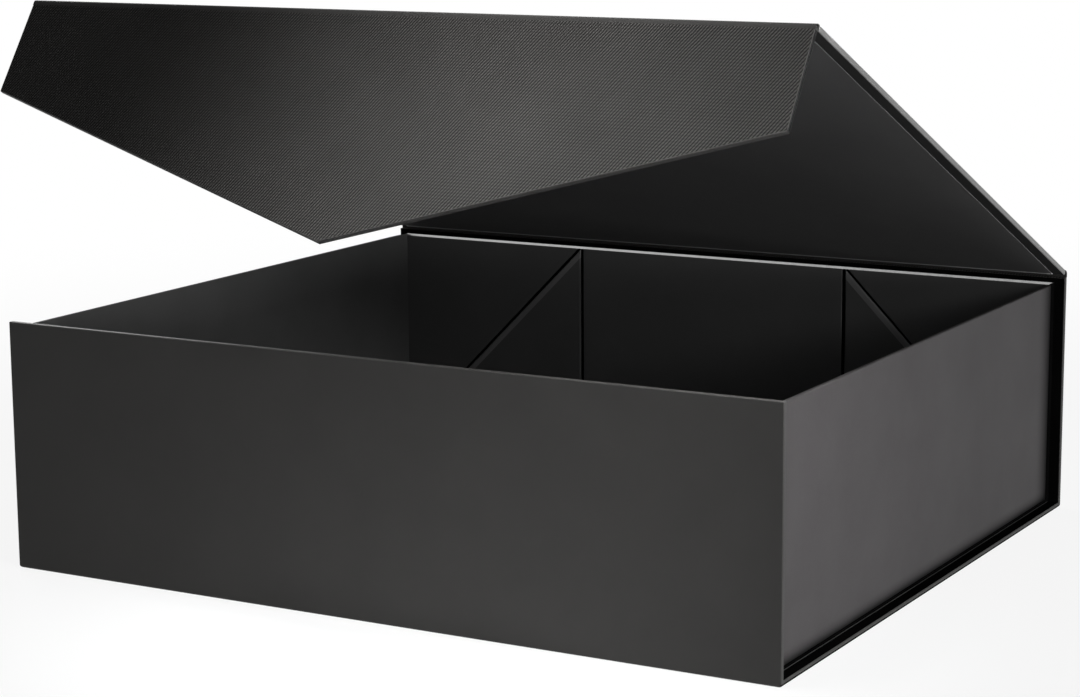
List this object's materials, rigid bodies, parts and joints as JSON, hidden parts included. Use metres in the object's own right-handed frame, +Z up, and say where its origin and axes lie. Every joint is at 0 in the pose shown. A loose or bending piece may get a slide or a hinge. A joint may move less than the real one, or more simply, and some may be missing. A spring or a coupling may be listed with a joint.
{
  "type": "magnetic gift box",
  "caption": "Rectangular folding gift box with a hinged lid, a pointed magnetic closing flap and a tray with folding corner gussets.",
  "frame": {"origin": "centre of the base's underside, on the surface that the box stands on", "axes": "+X to the right along the front, +Y towards the spine at the back, +Z up"},
  "size_m": [0.414, 0.3963, 0.2786],
  "materials": {
    "cover_paper": "satin",
    "lining_paper": "satin",
    "tape": "matte",
    "magnet": "satin"
  },
  "bodies": {
    "tray": {"base_panel": "cover_paper", "front_panel": "cover_paper", "spine_panel": "cover_paper", "floor_liner": "lining_paper", "left_wall": "cover_paper", "right_wall": "cover_paper", "front_centre_board": "lining_paper", "back_centre_board": "lining_paper", "front_left_inner_gusset": "lining_paper", "front_left_outer_gusset": "lining_paper", "front_right_inner_gusset": "lining_paper", "front_right_outer_gusset": "lining_paper", "back_left_inner_gusset": "lining_paper", "back_left_outer_gusset": "lining_paper", "back_right_inner_gusset": "lining_paper", "back_right_outer_gusset": "lining_paper", "front_left_tape": "tape", "front_right_tape": "tape", "back_left_tape": "tape", "back_right_tape": "tape", "front_left_magnet": "magnet", "front_right_magnet": "magnet"},
    "lid": {"lid_panel": "cover_paper", "lid_lining": "lining_paper"},
    "flap": {"flap_panel": "cover_paper", "flap_lining": "lining_paper", "flap_left_magnet": "magnet", "flap_right_magnet": "magnet"}
  },
  "joints": [
    {"name": "lid_hinge", "type": "hinge", "parent": "tray", "child": "lid", "pos_m": [0, 0.18, 0.1275], "axis": [-1, 0, 0], "range_deg": [-24.6, 155.4]},
    {"name": "flap_hinge", "type": "hinge", "parent": "lid", "child": "flap", "pos_m": [0, -0.15051, 0.27882], "axis": [-1, 0, 0], "range_deg": [-9.6, 170.4]}
  ]
}
